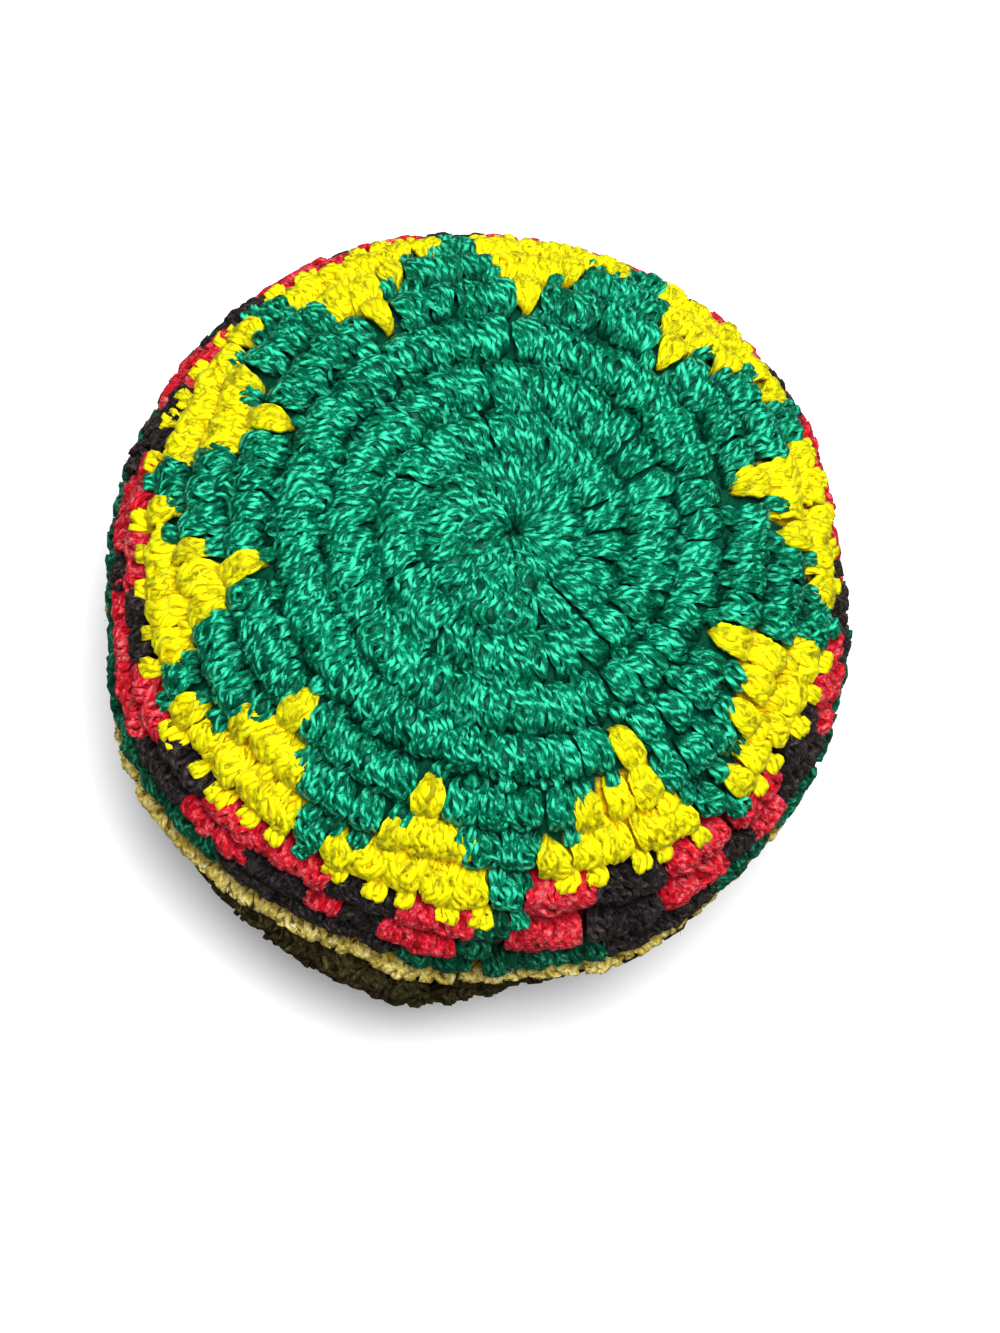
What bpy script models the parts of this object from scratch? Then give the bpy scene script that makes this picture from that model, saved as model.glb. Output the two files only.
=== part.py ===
# Crocheted footbag: a squat round bag worked as one spiral of stitches in four yarns,
# with a thin pouch inside it that holds loose pellets.
# Metres, +Z up. The bag stands on the level middle of its underside, with the origin there.

import math
from fractions import Fraction

import bmesh
import bpy
import numpy as np
from mathutils import Vector

# The whole bag, measured over the stitches
DIAMETER = 0.057
HEIGHT = 0.042
FLAT_DIAMETER = 0.027

# The crocheted cover
COVER_WALL = 0.002
STITCH_RISE = 0.0009
SEAM_GAP = 0.0003
CLOSED_HOLE_DIAMETER = 0.0042
KNOT_EDGE = 0.0012

# The pouch and the pellets in it
POUCH_WALL = 0.0004
POUCH_MOUTH_DIAMETER = 0.008
INNER_CLEARANCE = 0.0004

# The spiral: where it starts, and how far a column of stitches leans back in each round
START_ANGLE = math.radians(291.6)
LEAN_ANGLE = math.radians(2.0)

# Places along the spiral, as shares of the height of one round
FIRST_LINE_SHARE = 0.75
SECOND_LINE_SHARE = 1.23
TOP_HOLE_SHARE = 0.17

# Stitches in each round: widening rounds on the top, even rounds on the side, narrowing rounds below
WIDENING_COUNTS = (10, 14, 21, 30, 40, 51)
SIDE_COUNT = 60
SIDE_ROUNDS = 12
NARROWING_COUNTS = (50, 40, 30, 21, 14, 10)
COUNTS = WIDENING_COUNTS + (SIDE_COUNT,) * SIDE_ROUNDS + NARROWING_COUNTS
LAST_ROUND = len(COUNTS) - 1

# Rounds of the pattern, counted from zero at the centre of the top
TIP_ROUND = 5
TOOTH_ROUND = 6
TOOTH_BASE_ROUND = 7
BLOCK_ROUNDS = (8, 9)
BAND_ROUND = 10
STRIPE_ROUND = 11
BASE_PANEL_ROUND = 18

# Ten yellow teeth, each one stitch wide at its tip, then three, then five
TEETH = 10
TIP_REPEAT = 5
TIP_STITCH = 2
SIDE_REPEAT = 6
TOOTH_STITCHES = (1, 2, 3)
TOOTH_BASE_STITCHES = (0, 1, 2, 3, 4)

# Runs of red and black stitches under the teeth, with the one green stitch where the spiral steps down
BLOCK_RUNS = (
    ("red", 2), ("black", 2), ("red", 4), ("black", 2), ("red", 2), ("black", 2), ("red", 4), ("black", 2),
    ("red", 2), ("black", 2), ("red", 5), ("black", 2), ("red", 4), ("black", 2), ("red", 2), ("black", 2),
    ("red", 4), ("black", 2), ("red", 2), ("black", 2), ("red", 4), ("black", 2), ("red", 2), ("green", 1),
)
BAND_RUNS = (("green", 3), ("black", 3), ("green", 47), ("black", 5), ("green", 2))

PROFILE_STEPS = 400
KNOT_STEPS = 4
TURNED_SEGMENTS = 40
TURNED_LINES = 15
MERGE_DISTANCE = 0.00001

# Yarn and plastic colours as red, green and blue in sRGB, then roughness
FINISHES = {
    "green": ((0.0, 0.47, 0.28), 0.6),
    "yellow": ((0.98, 0.88, 0.05), 0.65),
    "red": ((0.66, 0.08, 0.14), 0.8),
    "black": ((0.09, 0.08, 0.10), 0.9),
    "pouch_cloth": ((0.80, 0.78, 0.74), 0.85),
    "pellet_plastic": ((0.86, 0.86, 0.84), 0.4),
}


def clear_scene():
    for item in list(bpy.data.objects):
        bpy.data.objects.remove(item, do_unlink=True)


def linear(channel):
    if channel <= 0.04045:
        return channel / 12.92
    return ((channel + 0.055) / 1.055) ** 2.4


def make_material(name):
    colour, roughness = FINISHES[name]
    material = bpy.data.materials.new(name)
    material.use_nodes = True
    shader = material.node_tree.nodes["Principled BSDF"]
    shader.inputs["Base Color"].default_value = (*[linear(c) for c in colour], 1.0)
    shader.inputs["Roughness"].default_value = roughness
    shader.inputs["Metallic"].default_value = 0.0
    return material


# The bag's outline: level discs above and below, joined by half an ellipse
FLAT_RADIUS = FLAT_DIAMETER / 2
BULGE = DIAMETER / 2 - STITCH_RISE - FLAT_RADIUS
MIDDLE = (HEIGHT - STITCH_RISE) / 2


def outline():
    """Radius, height and running length of the cover's outer line, from the top centre to the underside's."""
    angle = np.linspace(0.0, math.pi, PROFILE_STEPS)
    radius = np.concatenate([[0.0], FLAT_RADIUS + BULGE * np.sin(angle), [0.0]])
    height = np.concatenate([[2 * MIDDLE], MIDDLE + MIDDLE * np.cos(angle), [0.0]])
    length = np.concatenate([[0.0], np.cumsum(np.hypot(np.diff(radius), np.diff(height)))])
    return radius, height, length


OUTLINE_RADIUS, OUTLINE_HEIGHT, OUTLINE_LENGTH = outline()
TURNS = LAST_ROUND
ROUND_HEIGHT = OUTLINE_LENGTH[-1] / (TURNS + 2 * (SECOND_LINE_SHARE - 1))


def outline_point(length):
    radius = float(np.interp(length, OUTLINE_LENGTH, OUTLINE_RADIUS))
    height = float(np.interp(length, OUTLINE_LENGTH, OUTLINE_HEIGHT))
    return radius, height


def outward(radius, height):
    """Unit direction out of the cover, as its radial and its upward part."""
    side = max(radius - FLAT_RADIUS, 0.0) / BULGE ** 2
    rise = (height - MIDDLE) / MIDDLE ** 2
    size = math.hypot(side, rise)
    return side / size, rise / size


def sunk(point, depth):
    """A point of the cover's surface moved straight inwards."""
    radius = math.hypot(point.x, point.y)
    side, rise = outward(radius, point.z)
    share = (radius - side * depth) / radius
    return Vector((point.x * share, point.y * share, point.z - rise * depth))


def spiral_length(turn):
    """Length down the outline that the spiral reaches after this many turns."""
    slack = SECOND_LINE_SHARE - FIRST_LINE_SHARE
    share = float(turn) + SECOND_LINE_SHARE - 1
    if turn < 1:
        share = FIRST_LINE_SHARE + slack * float(turn)
    if turn > TURNS - 1:
        share = TURNS + 2 * (SECOND_LINE_SHARE - 1) - FIRST_LINE_SHARE - slack * float(TURNS - turn)
    return share * ROUND_HEIGHT


def on_cover(length, azimuth):
    radius, height = outline_point(length)
    return Vector((radius * math.cos(azimuth), radius * math.sin(azimuth), height))


def corner_point(corner):
    """Place of a stitch corner, on the spiral or on the rim of the top or underside hole."""
    line, turn = corner
    if line == "top":
        return on_cover(TOP_HOLE_SHARE * ROUND_HEIGHT, START_ANGLE + 2 * math.pi * float(turn))
    if line == "underside":
        azimuth = START_ANGLE - LEAN_ANGLE * TURNS + 2 * math.pi * float(turn)
        return on_cover(OUTLINE_LENGTH[-1] - CLOSED_HOLE_DIAMETER / 2, azimuth)
    return on_cover(spiral_length(turn), START_ANGLE + (2 * math.pi - LEAN_ANGLE) * float(turn))


def line_corners(turn_number, start, end):
    """Every stitch corner on one turn of the spiral between two fractions of that turn."""
    fractions = {start, end}
    for round_number in (turn_number, turn_number + 1):
        count = COUNTS[round_number]
        fractions.update(Fraction(i, count) for i in range(count) if start < Fraction(i, count) < end)
    return [("spiral", turn_number + f) for f in sorted(fractions)]


def stitch_outline(round_number, stitch):
    """Corners round one stitch: its edge nearer the top, then back along its edge nearer the underside."""
    count = COUNTS[round_number]
    start, end = Fraction(stitch, count), Fraction(stitch + 1, count)
    if round_number == 0:
        upper = [("top", start), ("top", end % 1)]
        if end == 1:
            upper.append(("spiral", Fraction(0)))
    else:
        upper = line_corners(round_number - 1, start, end)
    if round_number == LAST_ROUND:
        lower = [("underside", start), ("underside", end % 1)]
        if start == 0:
            lower.insert(0, ("spiral", Fraction(TURNS)))
    else:
        lower = line_corners(round_number, start, end)
    return lower + upper[::-1]


def add_to_collection(item, material):
    item.data.materials.append(material)
    COLLECTION.objects.link(item)
    return item


def cover_piece(name, stitches, yarn):
    """One patch of the cover worked in one yarn: a curved wall with a raised middle on every stitch."""
    bm = bmesh.new()
    verts = {}
    for round_number, stitch in stitches:
        corners = stitch_outline(round_number, stitch)
        for corner in corners:
            if corner not in verts:
                verts[corner] = bm.verts.new(corner_point(corner))
        bm.faces.new([verts[corner] for corner in corners])
    bm.normal_update()
    rim = bmesh.ops.inset_region(
        bm, faces=bm.faces[:], thickness=SEAM_GAP / 2, use_boundary=True, use_even_offset=True)
    bmesh.ops.delete(bm, geom=rim["faces"], context="FACES")
    outer = bm.faces[:]
    inner = bmesh.ops.extrude_face_region(bm, geom=outer, use_keep_orig=True)
    for item in inner["geom"]:
        if isinstance(item, bmesh.types.BMVert):
            item.co = sunk(item.co, COVER_WALL)
    bmesh.ops.recalc_face_normals(bm, faces=bm.faces[:])
    bmesh.ops.poke(bm, faces=outer, offset=STITCH_RISE, center_mode="MEAN")
    for vert in bm.verts:
        vert.co.z = max(vert.co.z, 0.0)
    mesh = bpy.data.meshes.new(name)
    bm.to_mesh(mesh)
    bm.free()
    return add_to_collection(bpy.data.objects.new(name, mesh), MATERIALS[yarn])


def whole_rounds(first, last):
    return [(r, s) for r in range(first, last + 1) for s in range(COUNTS[r])]


def is_tooth(round_number, stitch):
    """Whether a stitch of the top belongs to a yellow tooth."""
    if round_number == TIP_ROUND:
        return stitch % TIP_REPEAT == TIP_STITCH and stitch < TEETH * TIP_REPEAT
    if round_number == TOOTH_ROUND:
        return stitch % SIDE_REPEAT in TOOTH_STITCHES
    if round_number == TOOTH_BASE_ROUND:
        return stitch % SIDE_REPEAT in TOOTH_BASE_STITCHES
    return False


def tooth_number(round_number, stitch):
    repeat = TIP_REPEAT if round_number == TIP_ROUND else SIDE_REPEAT
    return stitch // repeat


def make_top():
    """The green top and the ring of yellow teeth set into its edge."""
    top = whole_rounds(0, TOOTH_BASE_ROUND)
    cover_piece("top_panel", [s for s in top if not is_tooth(*s)], "green")
    for tooth in range(TEETH):
        stitches = [s for s in top if is_tooth(*s) and tooth_number(*s) == tooth]
        cover_piece(f"tooth_{tooth + 1:02d}", stitches, "yellow")


def make_runs(word, rounds, runs):
    """A band of the side, cut into one piece for each run of stitches in one yarn."""
    start = 0
    made = {}
    for yarn, length in runs:
        stitches = [(r, s) for r in rounds for s in range(start, start + length)]
        made[yarn] = made.get(yarn, 0) + 1
        cover_piece(f"{yarn}_{word}_{made[yarn]:02d}", stitches, yarn)
        start += length


def make_side():
    make_runs("block", BLOCK_ROUNDS, BLOCK_RUNS)
    make_runs("band", (BAND_ROUND,), BAND_RUNS)
    cover_piece("yellow_stripe", whole_rounds(STRIPE_ROUND, STRIPE_ROUND), "yellow")
    cover_piece("lower_side", whole_rounds(STRIPE_ROUND + 1, BASE_PANEL_ROUND - 1), "green")
    cover_piece("base_panel", whole_rounds(BASE_PANEL_ROUND, LAST_ROUND), "green")


def turned(name, points, material):
    """A profile in the XZ plane, run from top to bottom and turned about the bag's axis."""
    mesh = bpy.data.meshes.new(name)
    mesh.from_pydata([(x, 0.0, z) for x, z in points], [(i, i + 1) for i in range(len(points) - 1)], [])
    item = add_to_collection(bpy.data.objects.new(name, mesh), MATERIALS[material])
    screw = item.modifiers.new("turn", "SCREW")
    screw.angle = 2 * math.pi
    screw.steps = TURNED_SEGMENTS
    screw.render_steps = TURNED_SEGMENTS
    screw.use_merge_vertices = True
    screw.merge_threshold = MERGE_DISTANCE
    return item


def inner_line(depth, end_radius):
    """The cover's outline moved inwards, from the top centre to a given radius on the underside."""
    lengths = np.linspace(0.0, OUTLINE_LENGTH[-1] - end_radius, TURNED_LINES)
    points = []
    for length in lengths:
        radius, height = outline_point(length)
        side, rise = outward(radius, height)
        points.append((max(radius - side * depth, 0.0), height - rise * depth))
    return points


def make_closing_knot():
    """The drawn-up end of the yarn, a small plug that fills the hole in the middle of the underside."""
    radius = CLOSED_HOLE_DIAMETER / 2 - SEAM_GAP
    crown = COVER_WALL - KNOT_EDGE
    angles = [math.pi / 2 * step / KNOT_STEPS for step in range(KNOT_STEPS + 1)]
    points = [(radius * math.sin(angle), KNOT_EDGE + crown * math.cos(angle)) for angle in angles]
    points += [(radius, 0.0), (0.0, 0.0)]
    turned("closing_knot", points, "green")


def make_pouch():
    depth = COVER_WALL + INNER_CLEARANCE
    pouch = turned("pouch", inner_line(depth, POUCH_MOUTH_DIAMETER / 2), "pouch_cloth")
    wall = pouch.modifiers.new("wall", "SOLIDIFY")
    wall.thickness = POUCH_WALL
    wall.offset = -1.0


def make_pellets():
    depth = COVER_WALL + INNER_CLEARANCE + POUCH_WALL + INNER_CLEARANCE
    turned("pellet_fill", inner_line(depth, 0.0), "pellet_plastic")


clear_scene()
COLLECTION = bpy.data.collections.new("footbag")
bpy.context.scene.collection.children.link(COLLECTION)
MATERIALS = {name: make_material(name) for name in FINISHES}
make_top()
make_side()
make_closing_knot()
make_pouch()
make_pellets()
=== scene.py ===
# Looks of the crocheted footbag: every stitch as threads of plied yarn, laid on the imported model.
# Metres, +Z up. The bag stands on z = 0.

import math

import bpy
import numpy as np
from mathutils import Matrix, Vector


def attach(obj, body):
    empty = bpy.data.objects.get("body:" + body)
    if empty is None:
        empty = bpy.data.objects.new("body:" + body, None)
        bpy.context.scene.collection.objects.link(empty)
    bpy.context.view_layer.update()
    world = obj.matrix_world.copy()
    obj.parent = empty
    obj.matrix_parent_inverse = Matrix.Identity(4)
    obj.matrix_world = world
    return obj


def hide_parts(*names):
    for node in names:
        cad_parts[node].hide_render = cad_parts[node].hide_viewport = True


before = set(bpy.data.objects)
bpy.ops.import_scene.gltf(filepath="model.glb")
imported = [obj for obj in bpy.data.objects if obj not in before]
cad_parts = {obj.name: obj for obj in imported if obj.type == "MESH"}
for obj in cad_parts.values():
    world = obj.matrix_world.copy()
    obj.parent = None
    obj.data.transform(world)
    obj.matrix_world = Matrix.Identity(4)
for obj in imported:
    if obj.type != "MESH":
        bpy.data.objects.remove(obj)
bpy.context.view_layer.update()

MM = 0.001
SMALLEST = 1e-12


def bumps_of(unit, *terms):
    """Bumps, each given as its size, and its angle and width in degrees."""
    return tuple((size * unit, math.radians(angle), math.radians(width)) for size, angle, width in terms)


# The photograph: its frame, and how the camera stood to the bag
PHOTO_SIZE = (1000, 1333)
CAMERA_TILT = math.radians(15.6)
CAMERA_AZIMUTH = math.radians(240.9)
CAMERA_ROLL = math.radians(26.0)
CAMERA_DISTANCE = 0.32
PIXELS_PER_METRE = 13340
BAG_PIXEL = (475.0, 605.3)
SENSOR_WIDTH = 36.0
CLIP_START = 0.01

# The bag's outline, as in the model
DIAMETER = 0.057
HEIGHT = 0.042
FLAT_DIAMETER = 0.027
STITCH_RISE = 0.0009
START_ANGLE = math.radians(291.6)
LEAN_ANGLE = math.radians(2.4)
FIRST_LINE_SHARE = 0.75
SECOND_LINE_SHARE = 1.23
TOP_HOLE_SHARE = 0.12
PROFILE_STEPS = 400

# How a handmade bag departs from a round one: size, count of lobes and angle of the first
RADIUS_LOBES = ((0.010, 4, math.radians(130)),)
AZIMUTH_LOBES = ((0.036, 1, math.radians(19)), (0.017, 2, math.radians(30)))
# The spiral's middle lies to one side on top, and its stitches are spread unevenly there
TOP_SHIFT = 0.6 * MM
TOP_SHIFT_ANGLE = math.radians(20)
TOP_LOBE = -0.084
TOP_LOBE_ANGLE = math.radians(302)
TOP_TURNS = (5.0, 9.0)
# The rounds of the rim sit lower than evenly spaced ones would, in shares of a round
RIM_TURNS = (3.5, 5.0, 7.7, 11.5, 20.0)
RIM_SHARES = (0.0, 0.17, 0.60, 0.58, 0.0)
RIM_LOBE = 0.22
RIM_LOBE_ANGLE = math.radians(342)
RIM_LOBE_TURNS = (5.0, 7.5, 8.5, 11.0)
# Where the spiral steps down, the first stitches of each round hang lower
SEAM_DROP = 1.10
SEAM_LENGTH = 0.052
SEAM_TURNS = (7.4, 9.6, 11.6, 14.5)
# The lower side is drawn in
SIDE_TURNS = (9.8, 12.0, 17.0, 20.0)
SIDE_DRAW = 0.55 * MM
# Some rounds ride up at one place and sink at another: size in shares of a round, angle and width
RISE_TURNS = (8.5, 10.8, 13.0, 18.0)
ROUND_RISES = bumps_of(1, (0.66, 249, 20), (0.45, 286, 15), (0.30, 214, 15), (-0.30, 162, 14))
# Bulges and hollows of the rim, the lower side and the stripe's two ends: the turns they stand between,
# then size, angle and width of each
BUMPS = (
    ((6.5, 9.0, 13.0, 18.0), bumps_of(
        MM, (0.30, 337, 20), (0.80, 288, 12), (0.70, 258, 7), (0.35, 268, 6), (0.60, 204, 13),
        (-0.35, 182, 12), (-0.75, 75, 36), (-0.45, 47, 16), (-0.75, 7, 13))),
    ((10.9, 12.4, 17.0, 20.0), bumps_of(MM, (2.3, 250, 27), (-0.9, 283, 13), (-0.5, 209, 14))),
    ((9.7, 10.3, 10.8, 11.5), bumps_of(MM, (0.40, 284, 14))),
    ((10.5, 11.1, 11.6, 12.3), bumps_of(MM, (0.75, 216, 17))),
)
# The whole rim hangs a little
RIM_DROP = 0.30 * MM

# Stitches in each round, from the centre of the top to the centre of the underside
COUNTS = np.array((10, 14, 21, 30, 40, 51) + (60,) * 12 + (50, 40, 30, 21, 14, 10))
LAST_ROUND = len(COUNTS) - 1
TIP_ROUND = 5
TOOTH_ROUND = 6
TOOTH_BASE_ROUND = 7
BLOCK_ROUND = 8
LOWER_BLOCK_ROUND = 9
BAND_ROUND = 10
STRIPE_ROUND = 11
TEETH = 10
TIP_REPEAT = 5
TIP_STITCH = 2
SIDE_REPEAT = 6
TOOTH_STITCHES = (1, 2, 3)
TOOTH_BASE_STITCHES = (0, 1, 2, 3, 4)
TOOTH_ROUNDS = (TIP_ROUND, TOOTH_ROUND, TOOTH_BASE_ROUND)
# Rounds below the stripe: their legs lie flatter, and their yarn is painted darker and browner, dirt
# together with painted shade and painted brown bounce light
DIRT_AND_SHADE_ROUNDS = range(STRIPE_ROUND + 1, LAST_ROUND + 1)
LOWER_ROUNDS = range(STRIPE_ROUND + 1, 18)

# Runs of stitches in the patterned rounds: R red, B black, G green
BLOCK_RUNS = "R2 B2 R4 B2 R2 B2 R4 B2 R2 B2 R5 B2 R4 B2 R2 B2 R4 B2 R2 B2 R4 B2 R2 G1"
LOWER_BLOCK_RUNS = ("R2 B2 R2 B1 R1 B2 R2 B2 R2 B2 R2 B2 R2 B2 R2 B2 R2 B2 R2 B2 R2 B2 R2 B1 R4"
                    " B2 R2 B2 R1 B1 R2 G1")
BAND_RUNS = "G3 B3 G47 B5 G2"
YARN_LETTERS = {"R": "red", "B": "black", "G": "green"}
# How full each yarn's threads are
FULLNESS = {"green": 1.0, "yellow": 1.2, "red": 1.15, "black": 1.15}
# How far each yarn's stitches spread
SPREAD = {"green": 1.10, "yellow": 1.20, "red": 1.18, "black": 1.15}

# The yarn: each leg of a stitch is a soft cord of threads round a core, and each thread has two plies
STRAIGHT_PITCH = 60 * MM
THREADS = 11
FEWEST_THREADS = 8
LOOP_THREADS = 6
LEAST_RADIUS = 0.06 * MM
THREAD_RADIUS = 0.24 * MM
THREAD_SIDES = 4
CORE_SIDES = 8
# The core's lift, as the material reads it, is lowered this many millimetres, so that the core is painted
# in the groove colour: painted shade
CORE_SHADE_DROP = 0.9
CORE_INSET = 2.0
TWIST_PITCH = 26 * MM
# Threads start at different places of the yarn, this many millimetres of it
YARN_LENGTH = 400
# Each thread's cell in the baked picture: length to width, and free margin
BAKE_STRETCH = 5.0
BAKE_MARGIN = 0.06
THICKNESS_SHARE = 0.55
WANDER_ANGLE = 0.55
WANDER_LENGTH = 2.6 * MM
# Stray fibres: how many on each leg of a stitch, and their shape; the ends are bare, a sixth each
FUZZ = {"green": 1, "yellow": 1, "red": 9, "black": 9}
FUZZ_BARE_PARTS = 6
FUZZ_ROOT_SHARE = 0.5
FUZZ_TONES = (0.2, 1.0)
FUZZ_STAND = 0.8
FUZZ_STRAY = 0.6
FUZZ_BEND = 0.8
FUZZ_CURL = 0.6
FUZZ_TAPER = 0.6
FUZZ_RADIUS = 0.018 * MM
FUZZ_LENGTH = 0.42 * MM
FUZZ_LENGTH_SPREAD = 0.4
FUZZ_LONGEST = 1.7
FUZZ_RINGS = 5
FUZZ_SIDES = 3
LEG_RINGS = 12
LOOP_RINGS = 10
STITCH_WIDTH = 3.0 * MM
NARROWEST_SHARE = 0.30
WIDTH_POWER = 0.95
THICKNESS_POWER = 0.40
SLANT = 0.44
STRAIGHT_ROUNDS = (0, 1)

# Lines of one leg of a stitch, from its root in the round above to where it dives under the next:
# across in stitch widths, down in rounds, lift and half width in millimetres
LEG_LINE = (
    (0.13, 0.00, -1.35, 0.74),
    (0.145, 0.05, -0.65, 0.88),
    (0.155, 0.13, 0.02, 1.00),
    (0.16, 0.26, 0.40, 1.06),
    (0.16, 0.45, 0.40, 1.06),
    (0.155, 0.63, 0.12, 1.00),
    (0.14, 0.79, -0.45, 0.90),
    (0.12, 0.91, -1.25, 0.74),
)
# The rounds near the middle run into each other
INNER_LINE = (
    (0.14, -0.14, -0.95, 0.78),
    (0.15, -0.02, -0.35, 0.90),
    (0.155, 0.12, 0.12, 0.98),
    (0.16, 0.30, 0.36, 1.02),
    (0.16, 0.50, 0.36, 1.02),
    (0.155, 0.68, 0.16, 0.96),
    (0.14, 0.84, -0.30, 0.88),
    (0.12, 0.97, -1.00, 0.75),
)
# The lower side's legs lie flatter and closer
FLAT_LIFT = 0.6
FLAT_SPREAD = 1.22
# Rounds whose legs reach further up or down than the others
STRETCHES = {BAND_ROUND: (0.0, 1.12), STRIPE_ROUND + 1: (-0.20, 1.0)}
# The first stitch of each row of a tooth stands out narrow between its neighbours
LONE_LINE = (
    (0.03, 0.09, -0.80, 0.34),
    (0.06, 0.13, -0.05, 0.56),
    (0.09, 0.21, 0.36, 0.74),
    (0.12, 0.36, 0.56, 0.86),
    (0.12, 0.56, 0.56, 0.86),
    (0.10, 0.74, 0.36, 0.76),
    (0.07, 0.90, -0.10, 0.62),
    (0.04, 1.00, -0.90, 0.50),
)
# The first round's legs rise out of the middle hole and run on under the second round's
FIRST_ROUND_LINE = (
    (0.18, 0.00, -1.90, 0.80),
    (0.20, 0.07, -0.90, 1.05),
    (0.22, 0.20, -0.10, 1.25),
    (0.24, 0.46, 0.20, 1.40),
    (0.24, 0.75, 0.22, 1.45),
    (0.24, 1.00, 0.05, 1.40),
    (0.24, 1.22, -0.35, 1.25),
    (0.20, 1.38, -1.10, 1.00),
)
SECOND_ROUND_LINE = (
    (0.20, -0.62, -1.00, 1.00),
    (0.22, -0.42, -0.38, 1.20),
    (0.24, -0.12, 0.02, 1.35),
    (0.23, 0.22, 0.28, 1.32),
    (0.21, 0.55, 0.32, 1.16),
    (0.19, 0.78, 0.10, 1.02),
    (0.17, 0.95, -0.35, 0.92),
    (0.15, 1.08, -1.10, 0.80),
)
# The stripe's legs lie flatter and closer than the others
STRIPE_LINE = (
    (0.22, 0.28, -1.10, 0.80),
    (0.24, 0.35, -0.35, 0.92),
    (0.25, 0.42, 0.14, 1.00),
    (0.25, 0.48, 0.28, 1.04),
    (0.25, 0.54, 0.28, 1.04),
    (0.25, 0.60, 0.14, 1.00),
    (0.24, 0.67, -0.35, 0.92),
    (0.22, 0.74, -1.10, 0.80),
)
# The round drop that shows between two stitches of the next round: down in shares of its reach, lift
# and half width
LOOP_LINE = (
    (-0.20, -0.60, 0.72),
    (0.00, 0.20, 0.82),
    (0.26, 0.60, 0.82),
    (0.54, 0.60, 0.74),
    (0.78, 0.28, 0.58),
    (0.93, -0.15, 0.40),
    (1.00, -0.70, 0.24),
)
LOOP_ACROSS = 0.50
LOOP_START = 0.90
LOOP_REACH = 0.27
ROUND_LOOP_REACHES = {5: 0.50, 6: 0.42}
ROUND_LOOP_DROPS = {1: 0.6, 2: 0.6, 3: 0.6, 4: 0.5, 5: 0.3, 6: 0.4}
ROUNDS_WITHOUT_LOOPS = (0, 8, 9, 10, 11)
# How uneven the work is, in shares
LOOP_UNEVENNESS = 0.16
LEG_UNEVENNESS = 0.07
STRIPE_UNEVENNESS = 0.03
ACROSS_UNEVENNESS = 0.8
DOWN_UNEVENNESS = 0.55
LIFT_UNEVENNESS = 0.09
KNOT_UNEVENNESS = (0.03, 0.014, 0.05)
SLANT_UNEVENNESS = 0.25
THREAD_UNEVENNESS = 0.08
LOOSENESS = 0.10
START_UNEVENNESS = 0.20
STITCH_TONE_SPREAD = 0.14
THREAD_TONE_SPREAD = 0.12
MIDDLE_TONE = 0.5

# The inside of the cover, which shows between the stitches, painted dark: painted shade
LINING_DEPTH = 0.90 * MM
LINING_WALL = 0.5 * MM
LINING_COLUMNS = 360
LINING_ROWS = 130
LINING_CLEARANCE = 0.1 * MM
HOLE_SINK = 0.8 * MM

# The pouch: its depth under the cover's line, its creases and the gathers at its mouth
POUCH_DEPTH = 2.6 * MM
POUCH_WALL = 0.3 * MM
POUCH_FOLD = 0.12 * MM
POUCH_DENT = 0.8 * MM
POUCH_FOLDS = ((5, 0.6, 3.0), (9, 0.5, -5.0), (14, 0.4, 8.0))
POUCH_ROWS = 150
POUCH_COLUMNS = 240
POUCH_END_SHARE = 0.985
GATHERS = 24
GATHER_START = 0.86

# The pellets
PELLET_SPACING = 2.95 * MM
PELLET_RADII = np.array((1.45, 1.35, 1.10)) * MM
PELLET_JITTER = 0.08 * MM
PELLET_UNEVENNESS = 0.05
PELLET_DEPTH = 4.6 * MM

# The knot
KNOT_TURNS = 1.6
KNOT_RINGS = 28
KNOT_RADIUS = 0.95 * MM
KNOT_HEIGHT = 0.75 * MM
KNOT_RISE = 0.5 * MM
KNOT_HALF_WIDTH = 0.50 * MM
KNOT_CLOSING_POWER = 0.7
KNOT_LOW_SHARE = 0.4
KNOT_CORE_SHARE = 0.7

rng = np.random.default_rng(57)


def link_item(name, data):
    item = bpy.data.objects.new(name, data)
    bpy.context.scene.collection.objects.link(item)
    return item


# Camera
def place_camera():
    """A camera at the photograph's angle, with the bag where the photograph has it."""
    back = Vector((math.sin(CAMERA_TILT) * math.cos(CAMERA_AZIMUTH),
                   math.sin(CAMERA_TILT) * math.sin(CAMERA_AZIMUTH), math.cos(CAMERA_TILT)))
    level = Vector((-math.sin(CAMERA_AZIMUTH), math.cos(CAMERA_AZIMUTH), 0))
    upright = back.cross(level)
    right = math.cos(CAMERA_ROLL) * level + math.sin(CAMERA_ROLL) * upright
    up = back.cross(right)
    across = (BAG_PIXEL[0] - PHOTO_SIZE[0] / 2) / PIXELS_PER_METRE
    down = (BAG_PIXEL[1] - PHOTO_SIZE[1] / 2) / PIXELS_PER_METRE
    place = Vector((0, 0, HEIGHT / 2)) + back * CAMERA_DISTANCE - right * across + up * down
    data = bpy.data.cameras.new("camera")
    data.sensor_fit = "HORIZONTAL"
    data.sensor_width = SENSOR_WIDTH
    data.lens = PIXELS_PER_METRE * CAMERA_DISTANCE * SENSOR_WIDTH / PHOTO_SIZE[0]
    data.clip_start = CLIP_START
    camera = link_item("camera", data)
    camera.matrix_world = Matrix.Translation(place) @ Matrix((right, up, back)).transposed().to_4x4()
    bpy.context.scene.camera = camera


place_camera()

# The cover's surface
FLAT_RADIUS = FLAT_DIAMETER / 2
BULGE = DIAMETER / 2 - STITCH_RISE - FLAT_RADIUS
MIDDLE = (HEIGHT - STITCH_RISE) / 2


def outline():
    """Radius, height and running length of the cover's line, from the top centre to the underside's."""
    angle = np.linspace(0.0, math.pi, PROFILE_STEPS)
    radius = np.concatenate([[0.0], FLAT_RADIUS + BULGE * np.sin(angle), [0.0]])
    height = np.concatenate([[2 * MIDDLE], MIDDLE + MIDDLE * np.cos(angle), [0.0]])
    length = np.concatenate([[0.0], np.cumsum(np.hypot(np.diff(radius), np.diff(height)))])
    return radius, height, length


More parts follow.
